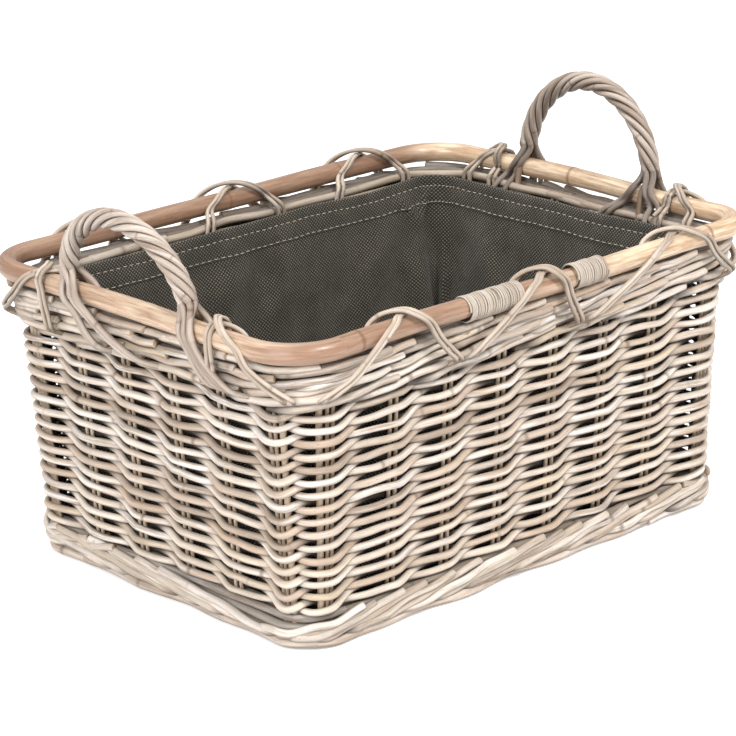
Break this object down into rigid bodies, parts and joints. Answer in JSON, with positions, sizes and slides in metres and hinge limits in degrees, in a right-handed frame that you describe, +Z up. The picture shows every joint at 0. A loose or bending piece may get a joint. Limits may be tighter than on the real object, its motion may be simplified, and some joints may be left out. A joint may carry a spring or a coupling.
{
  "type": "log basket",
  "caption": "Rectangular twined wicker basket with a pole rim, rope-twist end handles and a sewn fabric liner, for holding firewood by a hearth",
  "frame": {"origin": "middle of the footprint, on the resting plane", "axes": "+X along the long side towards the right handle, +Y from the spliced front side to the back, +Z up"},
  "size_m": [0.6171, 0.4616, 0.3912],
  "materials": {
    "woven_rods": "whitewashed grey-beige rattan rods, matt with a faint sheen",
    "rim_pole": "honey-brown rattan pole, satin varnish",
    "whipping_cane": "fine pale cane, matt",
    "lashing_cane": "grey-brown cane, matt",
    "rope_rods": "grey-brown rattan rods, matt with a faint sheen",
    "liner_fabric": "coarse dark grey-brown basket-weave cloth"
  },
  "bodies": {
    "root": {"floor_weave": "woven_rods", "floor_ribs": "woven_rods", "floor_ring": "woven_rods", "foot_border_front": "woven_rods", "foot_border_back": "woven_rods", "foot_border_left": "woven_rods", "foot_border_right": "woven_rods", "foot_corner_front_left": "woven_rods", "foot_corner_front_right": "woven_rods", "foot_corner_back_left": "woven_rods", "foot_corner_back_right": "woven_rods", "uprights_front": "woven_rods", "uprights_back": "woven_rods", "uprights_left": "woven_rods", "uprights_right": "woven_rods", "corner_posts_front_left": "woven_rods", "corner_posts_front_right": "woven_rods", "corner_posts_back_left": "woven_rods", "corner_posts_back_right": "woven_rods", "corner_rods_front_left": "woven_rods", "corner_rods_front_right": "woven_rods", "corner_rods_back_left": "woven_rods", "corner_rods_back_right": "woven_rods", "wall_front": "woven_rods", "wall_back": "woven_rods", "wall_left": "woven_rods", "wall_right": "woven_rods", "wall_corner_front_left": "woven_rods", "wall_corner_front_right": "woven_rods", "wall_corner_back_left": "woven_rods", "wall_corner_back_right": "woven_rods", "top_border_front": "woven_rods", "top_border_back": "woven_rods", "top_border_left": "woven_rods", "top_border_right": "woven_rods", "top_corner_front_left": "woven_rods", "top_corner_front_right": "woven_rods", "top_corner_back_left": "woven_rods", "top_corner_back_right": "woven_rods", "rim_pole": "rim_pole", "splice_whipping_left": "whipping_cane", "splice_whipping_right": "whipping_cane", "lashing_front_left": "lashing_cane", "lashing_front_middle": "lashing_cane", "lashing_front_right": "lashing_cane", "lashing_back_left": "lashing_cane", "lashing_back_middle": "lashing_cane", "lashing_back_right": "lashing_cane", "lashing_left_front": "lashing_cane", "lashing_left_back": "lashing_cane", "lashing_right_front": "lashing_cane", "lashing_right_back": "lashing_cane", "handle_bow_left": "rope_rods", "handle_bow_right": "rope_rods", "handle_rope_left": "rope_rods", "handle_rope_right": "rope_rods", "handle_feet_left": "rope_rods", "handle_feet_right": "rope_rods", "liner": "liner_fabric", "liner_hem": "liner_fabric"}
  },
  "joints": []
}
